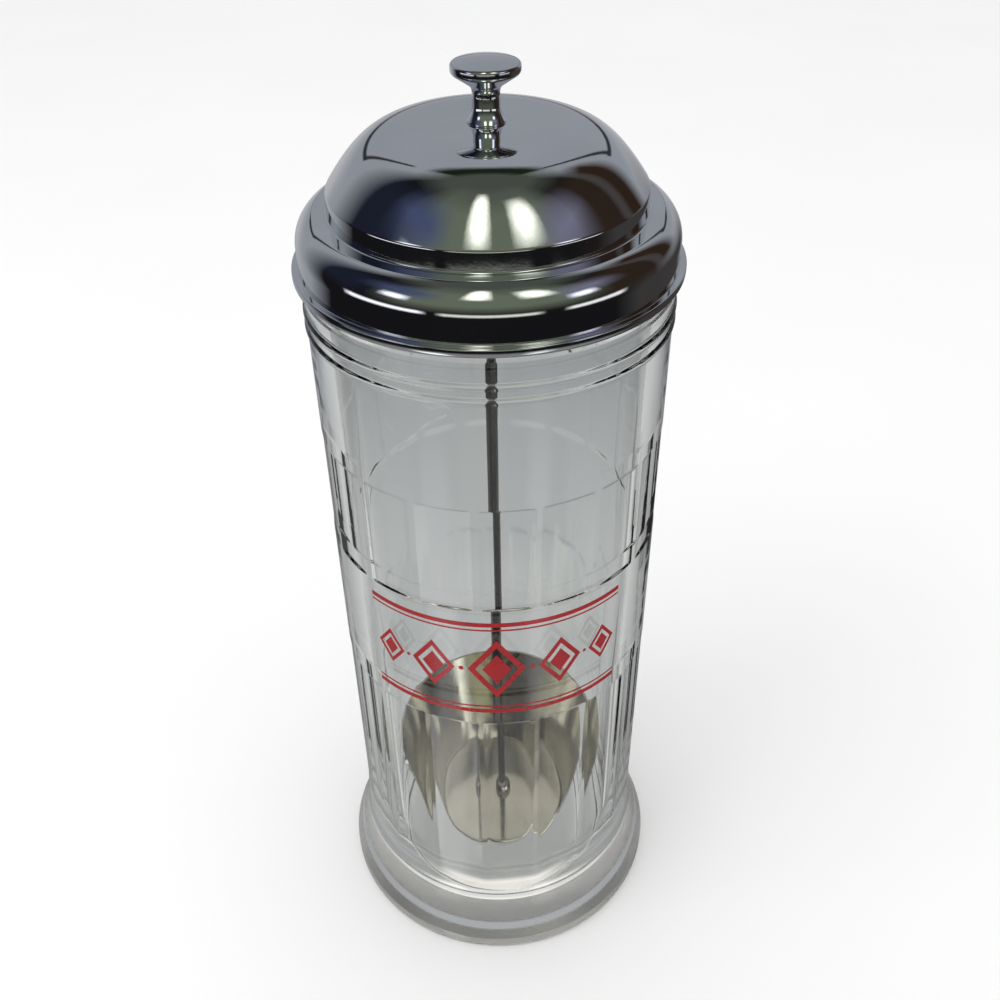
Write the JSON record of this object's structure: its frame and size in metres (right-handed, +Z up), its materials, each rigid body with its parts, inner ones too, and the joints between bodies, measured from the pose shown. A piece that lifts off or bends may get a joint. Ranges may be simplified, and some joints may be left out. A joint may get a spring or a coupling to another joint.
{
  "type": "straw dispenser",
  "caption": "Tall glass straw jar with a domed metal lid; lifting the lid's knob raises a rod and straw holder out of the jar.",
  "frame": {"origin": "on the jar's axis, in the plane that its foot stands on", "axes": "+Z up along the jar's axis; the straw holder's open front faces -Y"},
  "size_m": [0.102, 0.102, 0.2684],
  "materials": {
    "glass": "clear pressed glass",
    "lid_chrome": "polished",
    "knob_chrome": "polished",
    "rod_chrome": "polished",
    "holder_steel": "bright rolled sheet",
    "fastener_steel": "plated"
  },
  "bodies": {
    "jar": {"glass_jar": "glass"},
    "lifter": {"lid_shell": "lid_chrome", "knob": "knob_chrome", "lid_washer": "fastener_steel", "lid_nut": "fastener_steel", "lift_rod": "rod_chrome", "holder_floor": "holder_steel", "holder_wall": "holder_steel", "floor_nut": "fastener_steel", "clamp_washer": "fastener_steel", "clamp_nut": "fastener_steel"}
  },
  "joints": [
    {"name": "lid_lift", "type": "slide", "parent": "jar", "child": "lifter", "axis": [0, 0, 1], "range_m": [0, 0.23]}
  ]
}
